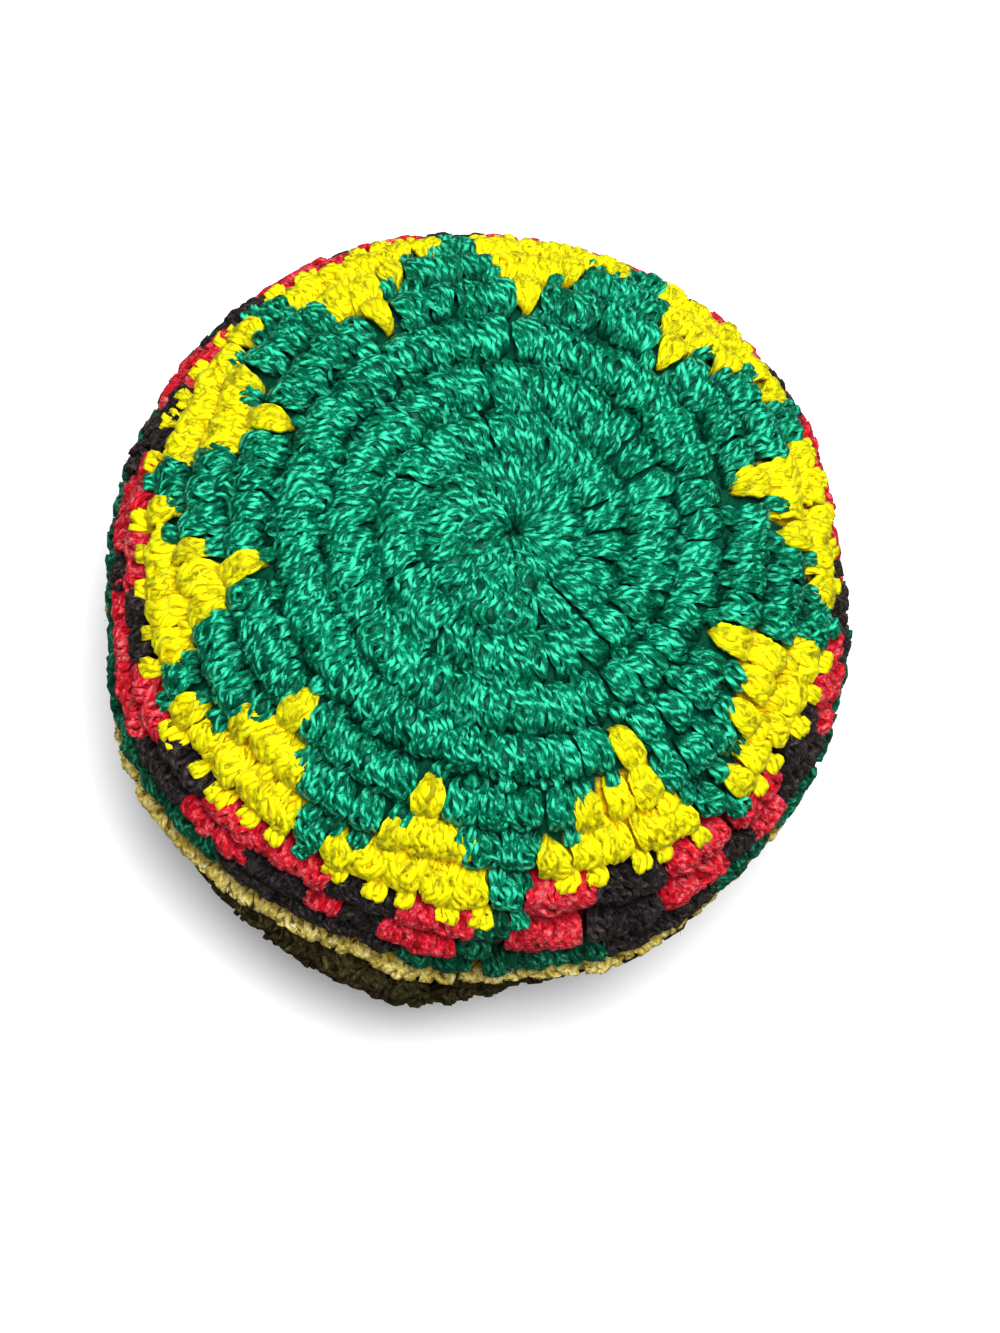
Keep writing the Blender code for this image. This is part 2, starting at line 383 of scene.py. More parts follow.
OUTLINE_RADIUS, OUTLINE_HEIGHT, OUTLINE_LENGTH = outline()
TURNS = LAST_ROUND
EVEN_SHARE = SECOND_LINE_SHARE - 1
ROUND_HEIGHT = OUTLINE_LENGTH[-1] / (TURNS + 2 * EVEN_SHARE)
END_SHARE = OUTLINE_LENGTH[-1] / ROUND_HEIGHT
LINE_TURNS = (-1, 0, 1) + RIM_TURNS + (TURNS - 1, TURNS, TURNS + 1)
LINE_SHARES = (
    (TOP_HOLE_SHARE, FIRST_LINE_SHARE, SECOND_LINE_SHARE)
    + tuple(turn + EVEN_SHARE + share for turn, share in zip(RIM_TURNS, RIM_SHARES))
    + (END_SHARE - SECOND_LINE_SHARE, END_SHARE - FIRST_LINE_SHARE, END_SHARE - TOP_HOLE_SHARE)
)


def lobes(azimuth, terms):
    return sum(size * np.cos(count * azimuth - start) for size, count, start in terms)


def smooth_step(value):
    share = np.clip(value, 0.0, 1.0)
    return share * share * (3 - 2 * share)


def between(turn, turns):
    """A weight that rises from the first turn to the second and falls from the third to the fourth."""
    rise = smooth_step((turn - turns[0]) / (turns[1] - turns[0]))
    return rise * smooth_step((turns[3] - turn) / (turns[3] - turns[2]))


def near_angle(azimuth, angle, width):
    """A weight that is 1 at one angle and falls off to either side of it."""
    off = (azimuth - angle + math.pi) % (math.tau) - math.pi
    return np.exp(-(off / width) ** 2)


def sum_near(azimuth, terms):
    return sum(size * near_angle(azimuth, angle, width) for size, angle, width in terms)


def side_shift(turn, azimuth):
    """How far the side stands out of the plain outline."""
    bumps = sum(sum_near(azimuth, terms) * between(turn, turns) for turns, terms in BUMPS)
    return bumps - SIDE_DRAW * between(turn, SIDE_TURNS)


def round_shift(turn, azimuth, fraction):
    """How far down the rounds lie from their even places, in shares of a round."""
    lobe = RIM_LOBE * np.cos(2 * (azimuth - RIM_LOBE_ANGLE)) * between(turn, RIM_LOBE_TURNS)
    seam = SEAM_DROP * np.exp(-fraction / SEAM_LENGTH) * between(turn, SEAM_TURNS)
    return lobe + seam - sum_near(azimuth, ROUND_RISES) * between(turn, RISE_TURNS)


def outline_at(length):
    """The cover's line at a running length: radius and height, and the outward direction's two parts."""
    radius = np.interp(length, OUTLINE_LENGTH, OUTLINE_RADIUS)
    height = np.interp(length, OUTLINE_LENGTH, OUTLINE_HEIGHT)
    side = np.maximum(radius - FLAT_RADIUS, 0.0) / BULGE ** 2
    rise = (height - MIDDLE) / MIDDLE ** 2
    size = np.hypot(side, rise)
    return radius, height, side / size, rise / size


def cover_points(turn, fraction, lift):
    """Points over the cover's surface, and the surface's outward directions there."""
    azimuth = START_ANGLE + math.tau * fraction - LEAN_ANGLE * turn
    share = np.interp(turn, LINE_TURNS, LINE_SHARES) + round_shift(turn, azimuth, fraction)
    radius, height, side, rise = outline_at(share * ROUND_HEIGHT)
    wide = radius * (1 + lobes(azimuth, RADIUS_LOBES) * radius / OUTLINE_RADIUS.max())
    top = 1 - smooth_step((turn - TOP_TURNS[0]) / (TOP_TURNS[1] - TOP_TURNS[0]))
    turned = azimuth + lobes(azimuth, AZIMUTH_LOBES) + TOP_LOBE * np.cos(azimuth - TOP_LOBE_ANGLE) * top
    wide = wide + side_shift(turn, turned)
    out = np.stack([side * np.cos(turned), side * np.sin(turned), rise], axis=-1)
    # The bag's weight presses the stitches of the underside flat
    sunk = lift - STITCH_RISE * np.clip(-rise, 0.0, 1.0) ** 2 - RIM_DROP * side
    points = np.stack([
        wide * np.cos(turned) + TOP_SHIFT * math.cos(TOP_SHIFT_ANGLE) * top,
        wide * np.sin(turned) + TOP_SHIFT * math.sin(TOP_SHIFT_ANGLE) * top,
        height], axis=-1)
    return points + out * sunk[..., None], out


def stitch_width(round_number, down, fraction):
    """Width of a round's stitches, down being shares of the round's height."""
    turn = round_number - 1 + np.clip(down, 0.0, 1.0) + fraction
    length = np.interp(turn, LINE_TURNS, LINE_SHARES) * ROUND_HEIGHT
    return math.tau * outline_at(length)[0] / COUNTS[round_number]


# Which yarn each stitch is worked in
def spread_runs(text):
    return [YARN_LETTERS[run[0]] for run in text.split() for _ in range(int(run[1:]))]


PATTERNED = {
    BLOCK_ROUND: spread_runs(BLOCK_RUNS),
    LOWER_BLOCK_ROUND: spread_runs(LOWER_BLOCK_RUNS),
    BAND_ROUND: spread_runs(BAND_RUNS),
}


def yarn_of(round_number, stitch):
    if round_number in PATTERNED:
        return PATTERNED[round_number][stitch]
    yellow = {
        TIP_ROUND: stitch % TIP_REPEAT == TIP_STITCH and stitch < TEETH * TIP_REPEAT,
        TOOTH_ROUND: stitch % SIDE_REPEAT in TOOTH_STITCHES,
        TOOTH_BASE_ROUND: stitch % SIDE_REPEAT in TOOTH_BASE_STITCHES,
        STRIPE_ROUND: True,
    }
    return "yellow" if yellow.get(round_number) else "green"


def is_lone(round_number, stitch):
    """Whether a stitch is the first of a row of a tooth."""
    yarns = yarn_of(round_number, stitch), yarn_of(round_number, stitch - 1)
    return round_number in TOOTH_ROUNDS and yarns == ("yellow", "green")


# Threads of plied yarn
def smooth_line(knots, count):
    """A smooth line through knots along axis 1, read at evenly spaced places."""
    number = knots.shape[1]
    place = np.linspace(0, number - 1, count)
    index = np.minimum(place.astype(int), number - 2)
    share = (place - index)[None, :, None]
    before = knots[:, np.maximum(index - 1, 0)]
    here = knots[:, index]
    there = knots[:, index + 1]
    after = knots[:, np.minimum(index + 2, number - 1)]
    return 0.5 * (2 * here + (there - before) * share
                  + (2 * before - 5 * here + 4 * there - after) * share ** 2
                  + (3 * here - before - 3 * there + after) * share ** 3)


def unit(vectors):
    return vectors / np.maximum(np.linalg.norm(vectors, axis=-1, keepdims=True), SMALLEST)


def run_along(points):
    """Length from the start of each line to each of its points."""
    steps = np.linalg.norm(np.diff(points, axis=1), axis=-1)
    return np.concatenate([np.zeros((len(points), 1)), np.cumsum(steps, axis=1)], axis=1)


def directions(points, out):
    """Up and side directions of each line at each of its points."""
    along = unit(np.gradient(points, axis=1))
    side = unit(np.cross(along, out))
    return np.cross(side, along), side


def lay_threads(points, out, half_width, half_thickness, threads, thread_radius, pitch):
    """The threads of cords that follow these points: centre lines, outward directions and radii."""
    up, side = directions(points, out)
    run = run_along(points)
    number = len(points)
    first = rng.uniform(0, math.tau, number)
    lines, radii = [], []
    for thread in range(threads):
        start = first + math.tau * thread / threads + rng.normal(0, START_UNEVENNESS, number)
        phase = rng.uniform(0, math.tau, (number, 1))
        wander = WANDER_ANGLE * np.sin(math.tau * run / WANDER_LENGTH + phase)
        angle = start[:, None] - math.tau * run / pitch + wander
        taper = (half_width / half_width.max(axis=1, keepdims=True)) ** 0.5
        loose = rng.normal(1, LOOSENESS, (number, 1))
        high = np.maximum(half_thickness - thread_radius, LEAST_RADIUS) * loose
        wide = np.maximum(half_width - thread_radius, LEAST_RADIUS) * loose
        lines.append(points + up * (np.cos(angle) * high)[..., None]
                     + side * (np.sin(angle) * wide)[..., None])
        radii.append(thread_radius * rng.normal(1, THREAD_UNEVENNESS, (number, 1)) * taper)
    return np.concatenate(lines), np.tile(out, (threads, 1, 1)), np.concatenate(radii)


def show_mesh(mesh, material):
    """A smooth piece of this material, named as its mesh is."""
    mesh.shade_smooth()
    mesh.materials.append(material)
    return link_item(mesh.name, mesh)


class Yarn:
    """Gathers closed tubes into one mesh."""

    def __init__(self):
        self.verts, self.quads, self.caps, self.place, self.tone, self.lift = [], [], [], [], [], []
        self.shapes = []
        self.count = 0

    def add(self, points, out, high, wide, tone, lift, sides=THREAD_SIDES):
        """Closed tubes round these lines, with each vertex's place on its thread."""
        threads, rings = points.shape[:2]
        up, side = directions(points, out)
        angle = math.tau * (np.arange(sides) + 0.5) / sides
        ring = up[:, :, None] * (np.cos(angle) * high[:, :, None])[..., None]
        ring = ring + side[:, :, None] * (np.sin(angle) * wide[:, :, None])[..., None]
        self.verts.append((points[:, :, None] + ring).reshape(-1, 3))
        run = run_along(points) / MM + rng.uniform(0, YARN_LENGTH, (threads, 1))
        places = np.broadcast_arrays(run[:, :, None], np.cos(angle), np.sin(angle))
        self.place.append(np.stack(places, axis=-1).reshape(-1, 3))
        first = self.count + (np.arange(threads) * rings * sides)[:, None, None]
        ring_first = first + (np.arange(rings - 1) * sides)[None, :, None]
        near, nearer = ring_first + np.arange(sides), ring_first + (np.arange(sides) + 1) % sides
        self.quads.append(np.stack([near, near + sides, nearer + sides, nearer], axis=-1).reshape(-1, 4))
        start = first[:, 0] + np.arange(sides)
        end = first[:, 0] + (rings - 1) * sides + np.arange(sides)[::-1]
        self.caps.extend(list(start) + list(end))
        self.tone.append(np.repeat(tone, rings * sides))
        self.lift.append(np.repeat(lift.ravel(), sides))
        self.shapes.append((threads, rings, sides))
        self.count += threads * rings * sides

    def bake_places(self):
        """A place in a square picture for each corner: every thread unrolled into its own cell."""
        total = sum(shape[0] for shape in self.shapes)
        columns = math.ceil(math.sqrt(BAKE_STRETCH * total))
        rows = math.ceil(total / columns)
        wide, high, margin = 1 / columns, 1 / rows, BAKE_MARGIN
        quad_places, cap_places, done = [], [], 0
        for threads, rings, sides in self.shapes:
            cell = done + np.arange(threads)
            left, low = (cell % columns) * wide, (cell // columns) * high
            done += threads
            around = margin + (1 - 2 * margin) * np.arange(sides + 1) / sides
            along = margin + (1 - 2 * margin) * np.arange(rings) / (rings - 1)
            u = left[:, None, None] + wide * around
            v = low[:, None, None] + high * along[:, None]
            corner = np.stack(np.broadcast_arrays(u, v), axis=-1)
            quad_places.append(np.stack(
                [corner[:, :-1, :-1], corner[:, 1:, :-1], corner[:, 1:, 1:], corner[:, :-1, 1:]],
                axis=3).reshape(-1, 2))
            dent = np.where(np.arange(sides) % 2, 0.5, 0.0) * margin * high
            dent = np.stack([0 * dent, dent], axis=-1)
            first, last = corner[:, 0, :sides] - dent, corner[:, -1, :sides] + dent
            cap_places.append(np.concatenate([first.reshape(-1, 2), last[:, ::-1].reshape(-1, 2)]))
        return np.concatenate(quad_places + cap_places)

    def build(self, name, material):
        verts = np.concatenate(self.verts)
        verts[:, 2] = np.maximum(verts[:, 2], 0.0)
        quads = np.concatenate(self.quads)
        sizes = np.concatenate([np.full(len(quads), 4), [len(cap) for cap in self.caps]]).astype(int)
        corners = np.concatenate([quads.ravel(), np.concatenate(self.caps)]).astype(int)
        mesh = bpy.data.meshes.new(name)
        mesh.vertices.add(len(verts))
        mesh.vertices.foreach_set("co", verts.ravel())
        mesh.loops.add(len(corners))
        mesh.loops.foreach_set("vertex_index", corners)
        mesh.polygons.add(len(sizes))
        mesh.polygons.foreach_set("loop_start", np.cumsum(sizes) - sizes)
        mesh.polygons.foreach_set("loop_total", sizes)
        mesh.update(calc_edges=True)
        layer = mesh.uv_layers.new(name="OFBake")
        layer.uv.foreach_set("vector", self.bake_places().astype(np.float32).ravel())
        for label, kind, key, values in (
                ("strand", "FLOAT_VECTOR", "vector", self.place),
                ("tone", "FLOAT", "value", self.tone),
                ("lift", "FLOAT", "value", self.lift)):
            attribute = mesh.attributes.new(label, kind, "POINT")
            attribute.data.foreach_set(key, np.concatenate(values).astype(np.float32).ravel())
        return show_mesh(mesh, material)


def add_fuzz(yarn, lines, outs, radii, number):
    """Short stray fibres that stand out of the threads."""
    rings = lines.shape[1]
    thread = rng.integers(0, len(lines), number)
    bare = rings // FUZZ_BARE_PARTS
    ring = rng.integers(bare, rings - bare, number)
    out = outs[thread, ring]
    start = lines[thread, ring] + out * radii[thread, ring][:, None] * FUZZ_ROOT_SHARE
    aim = unit(out * rng.uniform(0.0, FUZZ_STAND, (number, 1)) + rng.normal(0, FUZZ_STRAY, (number, 3)))
    bend = rng.normal(0, FUZZ_BEND, (number, 3))
    share = np.linspace(0, 1, FUZZ_RINGS)[None, :, None]
    spread = rng.lognormal(0, FUZZ_LENGTH_SPREAD, (number, 1, 1))
    length = FUZZ_LENGTH * np.minimum(spread, FUZZ_LONGEST)
    points = start[:, None] + (aim[:, None] * share + bend[:, None] * share ** 2 * FUZZ_CURL) * length
    across = unit(np.cross(aim, rng.normal(0, 1, (number, 3))))
    taper = FUZZ_RADIUS * (1 - FUZZ_TAPER * np.linspace(0, 1, FUZZ_RINGS))
    radius = np.tile(taper, (number, 1))
    yarn.add(points, np.tile(across[:, None], (1, FUZZ_RINGS, 1)), radius, radius,
             rng.uniform(*FUZZ_TONES, number), np.zeros((number, FUZZ_RINGS)), FUZZ_SIDES)


def work_yarn(yarn, yarn_name, round_number, stitches, line, mirror, slant, rings, most_threads, uneven):
    """One leg or loop of each of these stitches of a round."""
    number, fullness = len(stitches), FULLNESS[yarn_name]
    count = COUNTS[round_number]
    middle = (np.array(stitches) + 0.5) / count
    knots = np.tile(np.array(line), (number, 1, 1))
    knots[:, :, 0] *= mirror
    whole_shares = ACROSS_UNEVENNESS * uneven, DOWN_UNEVENNESS * uneven, LIFT_UNEVENNESS
    for axis, (whole, each) in enumerate(zip(whole_shares, KNOT_UNEVENNESS)):
        knots[:, :, axis] += rng.normal(0, whole, (number, 1)) + rng.normal(0, each, knots.shape[:2])
    knots[:, :, 3] *= rng.normal(1, uneven, (number, 1)) * SPREAD[yarn_name]
    fine = smooth_line(knots, rings)
    down = fine[:, :, 1]
    lean = slant * (1 + rng.normal(0, SLANT_UNEVENNESS, (number, 1)))
    fraction = middle[:, None] + (fine[:, :, 0] + lean * (down - 0.5)) / count
    turn = round_number - 1 + down + fraction
    if round_number == 0:
        turn = -1 + down * (1 + fraction)
    if round_number == LAST_ROUND:
        turn = round_number - 1 + fraction + down * (2 - fraction)
    points, out = cover_points(turn, fraction, fine[:, :, 2] * MM)
    narrow = stitch_width(round_number, down, middle[:, None]) / STITCH_WIDTH
    narrow = np.clip(narrow, NARROWEST_SHARE, 1.0)
    half_width = fine[:, :, 3] * MM * narrow ** WIDTH_POWER
    half_thickness = fine[:, :, 3] * MM * THICKNESS_SHARE * narrow ** THICKNESS_POWER
    threads = int(np.clip(round(most_threads * narrow.mean() ** 0.5), FEWEST_THREADS, most_threads))
    pitch = STRAIGHT_PITCH if round_number in STRAIGHT_ROUNDS else TWIST_PITCH
    lines, outs, radii = lay_threads(
        points, out, half_width, half_thickness, threads, THREAD_RADIUS * fullness, pitch)
    stitch_tone = rng.normal(MIDDLE_TONE, STITCH_TONE_SPREAD, number)
    tone = np.tile(stitch_tone, threads) + rng.normal(0, THREAD_TONE_SPREAD, number * threads)
    yarn.add(lines, outs, radii, radii, np.clip(tone, 0, 1), np.tile(fine[:, :, 2], (threads, 1)))
    inset = CORE_INSET * THREAD_RADIUS * fullness
    high = np.maximum(half_thickness - inset, LEAST_RADIUS)
    wide = np.maximum(half_width - inset, LEAST_RADIUS)
    # The core's lift is lowered for the material only: painted shade
    yarn.add(points, out, high, wide, np.clip(stitch_tone, 0, 1), fine[:, :, 2] - CORE_SHADE_DROP, CORE_SIDES)
    add_fuzz(yarn, lines, outs, radii, FUZZ[yarn_name] * number)


def leg_line(round_number):
    line = {
        0: FIRST_ROUND_LINE, 1: SECOND_ROUND_LINE, 2: INNER_LINE, 3: INNER_LINE, STRIPE_ROUND: STRIPE_LINE,
    }.get(round_number, LEG_LINE)
    lift_share, spread = (FLAT_LIFT, FLAT_SPREAD) if round_number in DIRT_AND_SHADE_ROUNDS else (1.0, 1.0)
    start, end = STRETCHES.get(round_number, (0.0, 1.0))
    return [(across, start + (end - start) * down, lift * lift_share, half * spread)
            for across, down, lift, half in line]


def loop_line(round_number):
    reach = ROUND_LOOP_REACHES.get(round_number, LOOP_REACH)
    drop = ROUND_LOOP_DROPS.get(round_number, 0.0)
    return [(LOOP_ACROSS, LOOP_START + reach * share, lift - drop, half) for share, lift, half in LOOP_LINE]


def make_stitches(name, rounds, yarn_name, material, nodes):
    yarn = Yarn()
    for number in rounds:
        stitches = [s for s in range(COUNTS[number]) if yarn_of(number, s) == yarn_name]
        if not stitches:
            continue
        slant = 0.0 if number in STRAIGHT_ROUNDS else SLANT
        lone = [s for s in stitches if is_lone(number, s)]
        others = [s for s in stitches if s not in lone]
        for group, line in ((others, leg_line(number)), (lone, LONE_LINE)):
            uneven = STRIPE_UNEVENNESS if number == STRIPE_ROUND else LEG_UNEVENNESS
            for mirror in (-1, 1) if group else ():
                work_yarn(yarn, yarn_name, number, group, line, mirror, slant, LEG_RINGS, THREADS, uneven)
        if number not in ROUNDS_WITHOUT_LOOPS:
            work_yarn(yarn, yarn_name, number, stitches, loop_line(number), 1, 0.0, LOOP_RINGS,
                      LOOP_THREADS, LOOP_UNEVENNESS)
    piece = yarn.build(name, material)
    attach(piece, "root")
    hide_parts(*nodes)


# Materials
PLY_PITCH_MM = 2.4
PLY_POWER = 1.6
FIBRES_ALONG = 1.3
FIBRES_AROUND = 1.6
FIBRES_SHARE = 0.45
TONE_SHARE = 0.35
# Lifts, in millimetres, at which a thread lies wholly in a groove and wholly in the open; threads in a
# groove are painted in the groove colour, as painted shade
GROOVE_LIFT = -0.55
OPEN_LIFT = 0.30
YARN_GLOW_DEPTH = 0.4 * MM
PELLET_GLOW_DEPTH = 0.5 * MM
LINING_RELIEF = 0.15 * MM
WEAVE_RELIEF = 0.06 * MM
PELLET_RELIEF = 0.05 * MM
PATCH_SIZE = 1.3 * MM
MOTTLE_SIZE = 0.40 * MM
CLOTH_THREADS_AROUND = 420
CLOTH_THREADS_DOWN = 200
SLUB_SIZE = 1.5 * MM
PELLET_CLOUD_SIZE = 1.2 * MM


def linear(channel):
    if channel <= 0.04045:
        return channel / 12.92
    return ((channel + 0.055) / 1.055) ** 2.4


def colour(code):
    """A colour written as six hexadecimal digits of sRGB."""
    return tuple(linear(int(code[i:i + 2], 16) / 255) for i in (0, 2, 4)) + (1.0,)


class Nodes:
    """Adds nodes to a new material or a world, and links them by name."""

    def __init__(self, name, world=None):
        self.owner = world or bpy.data.materials.new(name)
        self.owner.use_nodes = True
        self.tree = self.owner.node_tree
        self.shader = self.tree.nodes["Background" if world else "Principled BSDF"]

    def add(self, kind, inputs=None, **settings):
        """A node with these settings, and with a value or another node's output at each named input."""
        node = self.tree.nodes.new(kind)
        for key, value in settings.items():
            setattr(node, key, value)
        for key, value in (inputs or {}).items():
            self.put(node.inputs[key], value)
        return node

    def put(self, socket, value):
        if isinstance(value, bpy.types.NodeSocket):
            self.tree.links.new(value, socket)
        else:
            socket.default_value = value

    def finish(self, values):
        """The material or world, with these values at its shader's inputs."""
        for key, value in values.items():
            self.put(self.shader.inputs[key], value)
        return self.owner

    def attribute(self, name, output="Fac"):
        return self.add("ShaderNodeAttribute", attribute_name=name).outputs[output]

    def place(self, kind="Object"):
        return self.add("ShaderNodeTexCoord").outputs[kind]

    def noise(self, where, size, detail, **more):
        inputs = {"Vector": where, "Scale": 1 / size, "Detail": detail}
        return self.add("ShaderNodeTexNoise", {**inputs, **more}).outputs["Fac"]

    def stretch(self, value, low, high, to_low, to_high):
        return self.add("ShaderNodeMapRange", {
            "Value": value, "From Min": low, "From Max": high, "To Min": to_low, "To Max": to_high,
        }).outputs["Result"]

    def bump(self, height, strength, distance):
        inputs = {"Height": height, "Strength": strength, "Distance": distance}
        return self.add("ShaderNodeBump", inputs).outputs["Normal"]

    def mix(self, factor, first, second):
        inputs = {"Factor": factor, "A": first, "B": second}
        return self.add("ShaderNodeMix", inputs, data_type="RGBA").outputs["Result"]

    def times(self, first, second):
        return self.math("MULTIPLY", first, second)

    def math(self, operation, *values):
        return self.add("ShaderNodeMath", dict(enumerate(values)), operation=operation).outputs[0]

    def ramp(self, factor, *stops):
        """A blend of colours, each stop being a place and a colour's code."""
        node = self.add("ShaderNodeValToRGB", {"Fac": factor})
        stops = [(place, colour(code)) for place, code in stops]
        elements = node.color_ramp.elements
        elements[0].position, elements[0].color = stops[0]
        elements[1].position, elements[1].color = stops[-1]
        for position, value in stops[1:-1]:
            elements.new(position).color = value
        return node.outputs["Color"]


def yarn_material(name, shades, ply_highlight_share, mottle_share, groove, roughness, specular, tint, sheen,
                  bump_height, glow):
    """Two-ply thread: winding ridges painted as highlights, fibres, uneven dye, fuzz, and painted shade in
    the depths.
    """
    nodes = Nodes(name)
    strand = nodes.attribute("strand", "Vector")
    run, up, side = nodes.add("ShaderNodeSeparateXYZ", {0: strand}).outputs
    phase = nodes.times(run, math.tau / PLY_PITCH_MM)
    along = nodes.times(up, nodes.math("COSINE", phase))
    across = nodes.times(side, nodes.math("SINE", phase))
    ridge = nodes.math("POWER", nodes.math("ABSOLUTE", nodes.math("SUBTRACT", along, across)), 2.0)
    size = nodes.math("ADD", nodes.times(up, up), nodes.times(side, side))
    ply = nodes.math("POWER", nodes.math("DIVIDE", ridge, nodes.math("MAXIMUM", size, 0.1)), PLY_POWER)
    spot = nodes.add("ShaderNodeCombineXYZ", {
        0: nodes.times(run, FIBRES_ALONG),
        1: nodes.times(up, FIBRES_AROUND),
        2: nodes.times(side, FIBRES_AROUND)}).outputs[0]
    fibres = nodes.noise(spot, 1.0, 3.0)
    where = nodes.place()
    patch = nodes.noise(where, PATCH_SIZE, 2.0)
    mottle = nodes.noise(where, MOTTLE_SIZE, 3.0, Roughness=0.7)
    # Patches where the ply ridges are painted lighter and the hollows between them darker: painted
    # highlights and painted shade
    highlight_patches = nodes.math("MULTIPLY_ADD", patch, 0.55, nodes.times(mottle, 0.45))
    highlight_strength = nodes.stretch(highlight_patches, 0.40, 0.60, 0.15, 1.35)
    mix = nodes.math("MULTIPLY_ADD", nodes.times(ply, highlight_strength), ply_highlight_share,
                     nodes.times(fibres, FIBRES_SHARE))
    mix = nodes.math("MULTIPLY_ADD", nodes.attribute("tone"), TONE_SHARE, mix)
    mix = nodes.math("MULTIPLY_ADD", nodes.math("SUBTRACT", mottle, 0.5), mottle_share, mix)
    dyed = nodes.ramp(nodes.math("SUBTRACT", mix, ply_highlight_share * 0.25), *zip((0.20, 0.45, 0.80), shades))
    # Threads that lie deep in the grooves blend into the groove colour: painted shade
    depth = nodes.stretch(nodes.attribute("lift"), GROOVE_LIFT, OPEN_LIFT, 0.0, 1.0)
    height = nodes.math("MULTIPLY_ADD", fibres, 0.5, ply)
    height = nodes.math("MULTIPLY_ADD", mottle, mottle_share * 2, height)
    return nodes.finish({
        "Base Color": nodes.mix(depth, colour(groove), dyed),
        "Normal": nodes.bump(height, 0.8, bump_height * MM),
        "Roughness": roughness,
        "Subsurface Weight": glow,
        "Subsurface Radius": [1.0 if channel > 0.5 else 0.35 for channel in colour(tint)[:3]],
        "Subsurface Scale": YARN_GLOW_DEPTH,
        "Specular IOR Level": specular,
        "Specular Tint": colour(tint),
        "Sheen Weight": sheen,
        "Sheen Roughness": 0.4,
        "Sheen Tint": colour(tint),
    })


# In each look the lightest shade also colours the painted highlights on the ply ridges, and the groove
# colour is painted shade in the depths
LOOKS = {
    "green": yarn_material("green_yarn_look", ("004c34", "00875e", "36d0a6"), 0.74, 0.6, "003422",
                           0.42, 0.38, "70ffd0", 0.02, 0.08, 0.3),
    # A darker copy of the green for the band on the side: painted shade
    "painted_shade_green": yarn_material("painted_shade_green_yarn_look", ("00301e", "084c34", "2c8c68"), 0.45, 0.8, "001c10",
                         0.6, 0.3, "80ffd0", 0.05, 0.08, 0.3),
    # A duller, darker yellow for the stripe on the side: dirt together with painted shade
    "dirt_and_painted_shade_yellow": yarn_material("dirt_and_painted_shade_yellow_yarn_look", ("b09a3c", "e8d068", "fff8c0"), 0.20, 1.4, "7a6420",
                           0.8, 0.2, "fff0b0", 0.08, 0.07, 0.4),
    "yellow": yarn_material("yellow_yarn_look", ("fadc00", "fff000", "fff61c"), 0.08, 0.8, "fcd800",
                            0.7, 0.3, "ffffa0", 0.05, 0.04, 0.8),
    "red": yarn_material("red_yarn_look", ("ac0414", "da2438", "f47878"), 0.20, 1.4, "a0081c",
                         0.9, 0.15, "ff8080", 0.15, 0.07, 0.5),
    "black": yarn_material("black_yarn_look", ("100e0f", "262223", "4c4644"), 0.20, 1.6, "0e0c0c",
                           0.9, 0.15, "a09088", 0.12, 0.08, 0.35),
    # Darker, browner green of the lower side, the underside and the knot: dirt together with painted shade
    # and painted brown bounce light
    "dirt_and_painted_shade": yarn_material("dirt_and_painted_shade_yarn_look", ("201a0e", "36301a", "585030"), 0.25, 1.0, "1a1408",
                            0.8, 0.15, "d0c890", 0.02, 0.08, 0.2),
}
# Lining colours, darker than the yarns: painted shade; at and below the stripe also browner, dirt together
# with painted shade
PAINTED_SHADE_LINING_COLOURS = {
    "green": colour("004430"),
    "yellow": colour("f0c000"),
    "red": colour("800812"),
    "black": colour("080707"),
    "dirt_and_painted_shade": colour("181208"),
}


def lining_material():
    """The matted inner side of the stitches, its colours darkened as painted shade."""
    nodes = Nodes("lining_look")
    mats = nodes.noise(nodes.place(), MOTTLE_SIZE, 3.0, Distortion=0.8)
    light = nodes.stretch(mats, 0.35, 0.65, 0.6, 1.3)
    shade = nodes.attribute("shade", "Color")
    mixed = nodes.add("ShaderNodeVectorMath", {0: shade, "Scale": light}, operation="SCALE")
    return nodes.finish({
        "Base Color": mixed.outputs["Vector"],
        "Normal": nodes.bump(mats, 0.8, LINING_RELIEF),
        "Roughness": 0.95,
        "Specular IOR Level": 0.1,
    })


def cloth_material():
    """Thin unbleached cloth: two sets of threads over and under each other."""
    nodes = Nodes("pouch_cloth_look")
    parts = nodes.add("ShaderNodeSeparateXYZ", {0: nodes.place("UV")}).outputs
    warp = nodes.math("SINE", nodes.times(parts[0], CLOTH_THREADS_AROUND * math.pi))
    weft = nodes.math("SINE", nodes.times(parts[1], CLOTH_THREADS_DOWN * math.pi))
    weave = nodes.times(warp, weft)
    slubs = nodes.noise(nodes.place(), SLUB_SIZE, 4.0)
    mix = nodes.math("MULTIPLY_ADD", weave, 0.16, nodes.math("MULTIPLY_ADD", slubs, 0.5, 0.25))
    return nodes.finish({
        "Base Color": nodes.ramp(mix, (0.25, "a89c86"), (0.5, "ccc4b4"), (0.8, "e6e0d4")),
        "Normal": nodes.bump(mix, 0.6, WEAVE_RELIEF),
        "Roughness": 0.85,
        "Sheen Weight": 0.1,
    })


def pellet_material():
    """Milky moulded plastic, each pellet a little different."""
    nodes = Nodes("pellet_plastic_look")
    cloud = nodes.noise(nodes.place(), PELLET_CLOUD_SIZE, 3.0)
    mix = nodes.math("MULTIPLY_ADD", nodes.attribute("tone"), 0.6, nodes.times(cloud, 0.4))
    return nodes.finish({
        "Base Color": nodes.ramp(mix, (0.1, "c8c6bc"), (0.5, "dcdad2"), (0.9, "f0efe8")),
        "Normal": nodes.bump(cloud, 0.3, PELLET_RELIEF),
        "Roughness": 0.35,
        "Subsurface Weight": 0.3,
        "Subsurface Scale": PELLET_GLOW_DEPTH,
    })


# Pieces
def nodes_named(*starts):
    return sorted(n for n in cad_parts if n.startswith(starts))


